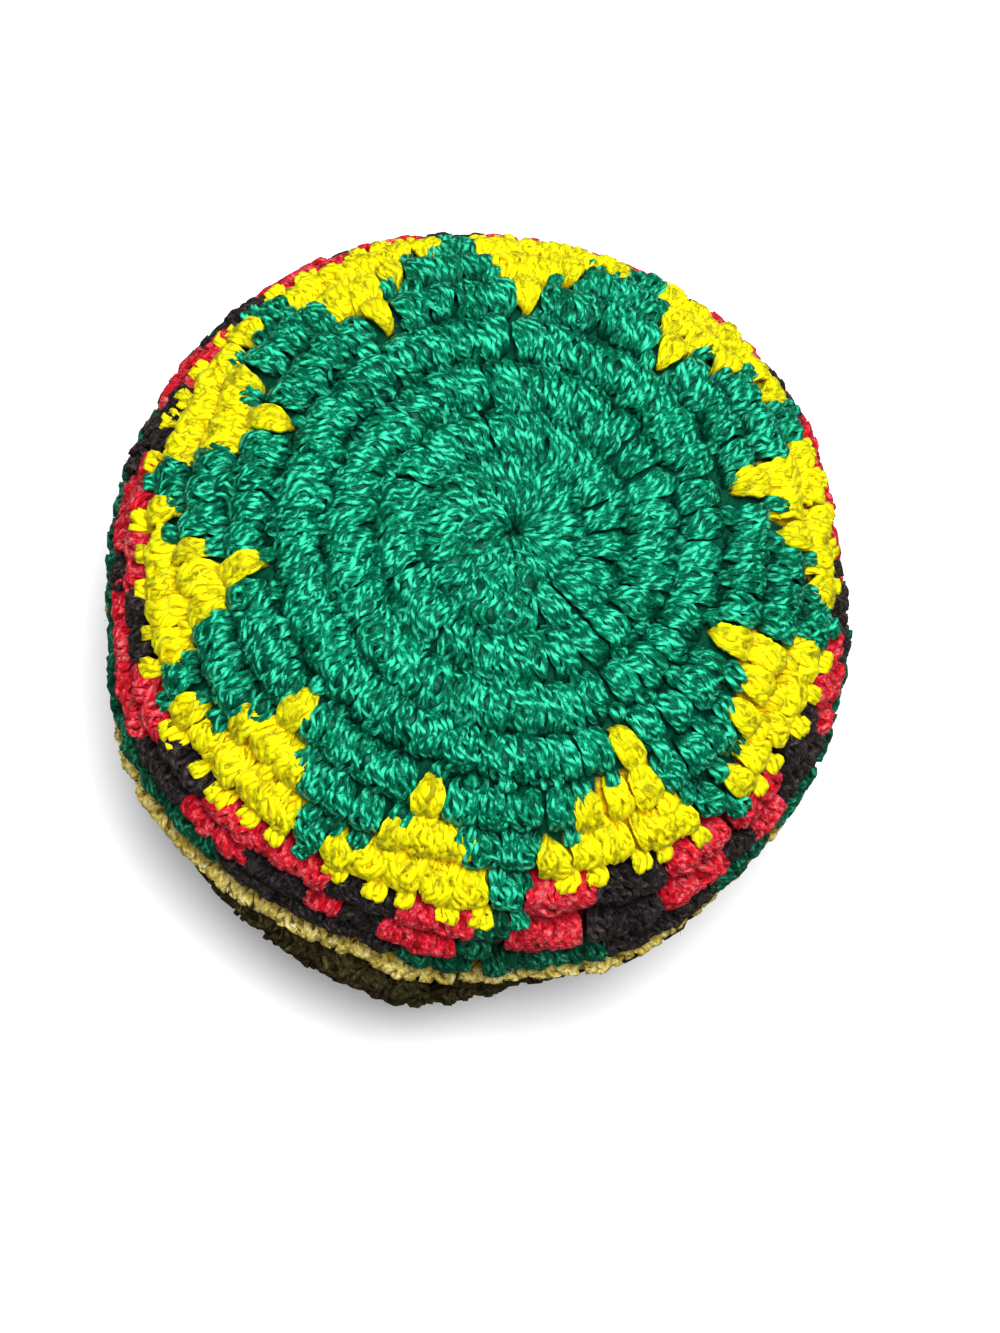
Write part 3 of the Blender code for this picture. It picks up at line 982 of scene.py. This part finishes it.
PIECES = (
    ("top_stitches_inner", "green", (0, 1, 2), ("top_panel",)),
    ("top_stitches_fourth", "green", (3,), ("top_panel",)),
    ("top_stitches_fifth", "green", (4,), ("top_panel",)),
    ("top_stitches_sixth", "green", (5,), ("top_panel",)),
    ("top_stitches_outer", "green", (6, 7), ("top_panel",)),
    ("tooth_stitches_upper", "yellow", (5, 6), ("tooth_",)),
    ("tooth_stitches_lower", "yellow", (7,), ("tooth_",)),
    ("red_stitches", "red", (8, 9), ("red_block_",)),
    ("black_stitches", "black", (8, 9, 10), ("black_block_", "black_band_")),
    ("band_stitches", "green", (8, 9, 10), ("green_block_", "green_band_")),
    ("stripe_stitches", "yellow", (11,), ("yellow_stripe",)),
    *((f"lower_stitches_{number - STRIPE_ROUND}", "green", (number,), ("lower_side",))
      for number in LOWER_ROUNDS),
    ("base_stitches_outer", "green", (18,), ("base_panel",)),
    ("base_stitches_middle", "green", (19,), ("base_panel",)),
    ("base_stitches_inner", "green", (20, 21), ("base_panel",)),
    ("base_stitches_innermost", "green", (22, 23), ("base_panel",)),
)

# The band on the side gets a darker copy of the green, painted shade; the stripe a duller, darker yellow,
# dirt together with painted shade
LOWER_LOOKS = {"band_stitches": "painted_shade_green", "stripe_stitches": "dirt_and_painted_shade_yellow"}

for piece_name, yarn_name, rounds, starts in PIECES:
    look = "dirt_and_painted_shade" if rounds[0] in DIRT_AND_SHADE_ROUNDS else LOWER_LOOKS.get(piece_name, yarn_name)
    make_stitches(piece_name, rounds, yarn_name, LOOKS[look], nodes_named(*starts))


# The lining
def closed_faces(grid):
    """Faces of a grid that runs round into itself both ways."""
    rows, columns = grid.shape[:2]
    near = np.arange(rows * columns).reshape(rows, columns)
    far = np.roll(near, -1, axis=0)
    corners = [near, far, np.roll(far, -1, axis=1), np.roll(near, -1, axis=1)]
    return np.stack(corners, axis=-1).reshape(-1, 4).tolist()


def make_lining():
    """A closed shell just under the stitches, painted dark: painted shade of the depths between them."""
    down = np.linspace(-1.0, TURNS + 1.0, LINING_ROWS)
    around = np.arange(LINING_COLUMNS) / LINING_COLUMNS
    turn, fraction = np.meshgrid(down, around, indexing="ij")
    shape = turn.shape
    rows = []
    for depth in (LINING_DEPTH, LINING_DEPTH + LINING_WALL):
        points, _ = cover_points(turn, fraction, np.full(shape, -depth))
        for row, sink in ((0, HOLE_SINK), (-1, -HOLE_SINK)):
            points[row, :, :2] = 0.0
            points[row, :, 2] = points[row, :, 2].mean() - sink
        rows.append(points)
    grid = np.concatenate([rows[0], rows[1][::-1]])
    mesh = bpy.data.meshes.new("cover_lining")
    verts = grid.reshape(-1, 3)
    verts[:, 2] = np.maximum(verts[:, 2], LINING_CLEARANCE)
    mesh.from_pydata(verts.tolist(), [], closed_faces(grid))
    shades = np.zeros(grid.shape[:2] + (4,), np.float32)
    for row, place in enumerate(np.concatenate([down, down[::-1]])):
        for column in range(LINING_COLUMNS):
            round_number = int(np.clip(math.floor(place - around[column]) + 1, 0, LAST_ROUND))
            stitch = int(around[column] * COUNTS[round_number])
            yarn_name = "green" if is_lone(round_number, stitch) else yarn_of(round_number, stitch)
            # At and below the stripe the lining takes the darker, browner colour: dirt together with
            # painted shade
            dirt_and_painted_shade = round_number >= STRIPE_ROUND
            shades[row, column] = PAINTED_SHADE_LINING_COLOURS["dirt_and_painted_shade" if dirt_and_painted_shade else yarn_name]
    attribute = mesh.color_attributes.new("shade", "FLOAT_COLOR", "POINT")
    attribute.data.foreach_set("color", shades.ravel())
    item = show_mesh(mesh, lining_material())
    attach(item, "root")


make_lining()


# The pieces inside: a cloth pouch full of pellets, and the knot that closes the cover
def inner_points(share, fraction, depth):
    """Points a depth under the cover's plain line, share being 0 at the top and 1 at the underside."""
    radius, height, side, rise = outline_at(share * OUTLINE_LENGTH[-1])
    angle = math.tau * fraction
    radius = np.maximum(radius - side * depth, 0.0)
    return np.stack([radius * np.cos(angle), radius * np.sin(angle), height - rise * depth], axis=-1)


def link_mesh(name, verts, faces, material):
    mesh = bpy.data.meshes.new(name)
    mesh.from_pydata(verts.tolist(), [], faces)
    return show_mesh(mesh, material)


def make_pouch():
    """A thin bag of cloth that the pellets press out, creased and gathered at its mouth below."""
    down = np.linspace(0.0, POUCH_END_SHARE, POUCH_ROWS)
    share, fraction = np.meshgrid(down, np.arange(POUCH_COLUMNS) / POUCH_COLUMNS, indexing="ij")
    angle = math.tau * fraction
    folds = sum(size * np.sin(count * angle + rng.uniform(0, math.tau) + turn * share)
                for count, size, turn in POUCH_FOLDS)
    gathers = np.sin(GATHERS * angle) * np.clip((share - GATHER_START) / (1 - GATHER_START), 0, 1)
    dents = rng.normal(0, 1, share.shape)
    for axis, step in ((0, 1), (0, 2), (1, 1), (1, 2)):
        dents = (np.roll(dents, step, axis) + dents + np.roll(dents, -step, axis)) / 3
    steady = np.sin(np.pi * np.clip(share / POUCH_END_SHARE, 0, 1)) ** 0.5
    depth = POUCH_DEPTH + POUCH_FOLD * (folds * steady + gathers) + POUCH_DENT * dents * steady
    outer = inner_points(share, fraction, depth)
    inner = inner_points(share, fraction, depth + POUCH_WALL)
    grid = np.concatenate([outer, inner[::-1]])
    pouch = link_mesh("pouch_cloth_bag", grid.reshape(-1, 3), closed_faces(grid), cloth_material())
    layer = pouch.data.uv_layers.new(name="weave")
    columns = np.arange(POUCH_COLUMNS)
    u = np.stack([columns, columns, columns + 1, columns + 1], axis=-1) / POUCH_COLUMNS
    rise = np.arange(len(grid))
    v = np.stack([rise, rise + 1, rise + 1, rise], axis=-1) / POUCH_ROWS
    places = np.stack(np.broadcast_arrays(u[None], v[:, None]), axis=-1)
    layer.uv.foreach_set("vector", places.astype(np.float32).ravel())
    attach(pouch, "root")
    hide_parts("pouch")


def make_pellets():
    """Closely packed pellets, each a lozenge turned its own way."""
    step = PELLET_SPACING
    layers = int(HEIGHT / (step * math.sqrt(2 / 3))) + 2
    reach = int(DIAMETER / step)
    rows = np.arange(-reach, reach)
    layer, row, column = np.meshgrid(np.arange(layers), rows, rows, indexing="ij")
    x = (column + 0.5 * (row % 2) + 0.5 * (layer % 2)) * step
    y = (row * math.sqrt(3) / 2 + layer % 2 / math.sqrt(3)) * step
    places = np.stack([x, y, layer * step * math.sqrt(2 / 3)], axis=-1).reshape(-1, 3)
    places = places + rng.normal(0, PELLET_JITTER, places.shape)
    wide = np.hypot(places[:, 0], places[:, 1])
    share = np.linspace(0, 1, PROFILE_STEPS)
    edge = inner_points(share, 0 * share, PELLET_DEPTH)
    limit = np.interp(places[:, 2], edge[::-1, 2], edge[::-1, 0])
    lowest, highest = edge[:, 2].min(), edge[:, 2].max()
    kept = places[(wide < limit) & (places[:, 2] > lowest) & (places[:, 2] < highest)]
    number = len(kept)
    bpy.ops.mesh.primitive_ico_sphere_add(subdivisions=2, radius=1.0)
    shape = bpy.context.object
    ball = np.array([vert.co for vert in shape.data.vertices])
    faces = np.array([list(face.vertices) for face in shape.data.polygons])
    bpy.data.objects.remove(shape)
    sizes = PELLET_RADII * rng.normal(1, PELLET_UNEVENNESS, (number, 3))
    w, x, y, z = unit(rng.normal(0, 1, (number, 4))).T
    spin = np.stack([
        1 - 2 * (y * y + z * z), 2 * (x * y - z * w), 2 * (x * z + y * w),
        2 * (x * y + z * w), 1 - 2 * (x * x + z * z), 2 * (y * z - x * w),
        2 * (x * z - y * w), 2 * (y * z + x * w), 1 - 2 * (x * x + y * y)], axis=-1).reshape(-1, 3, 3)
    verts = np.einsum("nij,nvj->nvi", spin, ball[None] * sizes[:, None]) + kept[:, None]
    all_faces = faces[None] + (np.arange(number) * len(ball))[:, None, None]
    pellets = link_mesh("plastic_pellets", verts.reshape(-1, 3), all_faces.reshape(-1, 3).tolist(),
                        pellet_material())
    tone = pellets.data.attributes.new("tone", "FLOAT", "POINT")
    tone.data.foreach_set("value", np.repeat(rng.uniform(0, 1, number), len(ball)).astype(np.float32))
    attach(pellets, "root")
    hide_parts("pellet_fill")


def make_knot():
    """The end of the yarn, coiled into the hole in the middle of the underside."""
    yarn = Yarn()
    turn = np.linspace(0, KNOT_TURNS * math.tau, KNOT_RINGS)
    share = np.linspace(1, 0, KNOT_RINGS)
    radius = KNOT_RADIUS * share ** KNOT_CLOSING_POWER
    height = KNOT_HEIGHT + KNOT_RISE * np.abs(share - KNOT_LOW_SHARE)
    points = np.stack([radius * np.cos(turn), radius * np.sin(turn), height], axis=-1)[None]
    out = np.tile(np.array([0.0, 0.0, -1.0]), (1, KNOT_RINGS, 1))
    half = np.full((1, KNOT_RINGS), KNOT_HALF_WIDTH)
    lines, outs, radii = lay_threads(points, out, half, half, LOOP_THREADS, THREAD_RADIUS, TWIST_PITCH)
    yarn.add(lines, outs, radii, radii, np.full(LOOP_THREADS, MIDDLE_TONE), np.zeros(lines.shape[:2]))
    core = half * KNOT_CORE_SHARE
    # The knot's core is painted in the groove colour: painted shade
    yarn.add(points, out, core, core, np.array([MIDDLE_TONE]), np.full((1, KNOT_RINGS), -CORE_SHADE_DROP))
    # The knot takes the lower side's darker, browner look: dirt together with painted shade and painted
    # brown bounce light
    knot = yarn.build("closing_knot_yarn", LOOKS["dirt_and_painted_shade"])
    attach(knot, "root")
    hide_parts("closing_knot")


make_pouch()
make_pellets()
make_knot()


# Floor and light
FLOOR_SIZE = 6.0
PAPER_SHADE = (0.08, 0.078, 0.075, 1.0)
PAPER_WHITE = (0.92, 0.92, 0.92, 1.0)
SKY = {"From Min": 0.1, "From Max": 0.9, "To Min": 0.09, "To Max": 1.0}
LAMP_PLACE = (-0.01, -0.02, 0.80)
LAMP_TARGET = (0, 0, 0.03)
LAMP_SIZE = 0.34
LAMP_POWER = 7.0


def paper_material():
    """White to the camera, and greyer in what it throws back at the bag."""
    nodes = Nodes("paper")
    path = nodes.add("ShaderNodeLightPath").outputs["Is Camera Ray"]
    return nodes.finish({
        "Base Color": nodes.mix(path, PAPER_SHADE, PAPER_WHITE),
        "Roughness": 0.9,
        "Specular IOR Level": 0.0,
    })


def make_stage():
    bpy.ops.mesh.primitive_plane_add(size=FLOOR_SIZE)
    floor = bpy.context.object
    floor.name = "floor"
    floor.data.materials.append(paper_material())


def add_lamp(name, place, target, size, power):
    data = bpy.data.lights.new(name, "AREA")
    data.shape = "DISK"
    data.size = size
    data.energy = power
    lamp = link_item(name, data)
    lamp.location = place
    lamp.rotation_euler = (Vector(target) - Vector(place)).to_track_quat("-Z", "Y").to_euler()


def make_world():
    """White light from all round, stronger from above."""
    world = bpy.data.worlds.new("world")
    bpy.context.scene.world = world
    nodes = Nodes("world", world)
    height = nodes.add("ShaderNodeSeparateXYZ", {0: nodes.place("Generated")}).outputs["Z"]
    glow = nodes.add("ShaderNodeMapRange", {"Value": height, **SKY}, interpolation_type="SMOOTHSTEP")
    nodes.finish({"Color": (1, 1, 1, 1), "Strength": glow.outputs["Result"]})


make_stage()
make_world()
add_lamp("key_lamp", LAMP_PLACE, LAMP_TARGET, LAMP_SIZE, LAMP_POWER)

bpy.context.scene.view_settings.view_transform = "Standard"
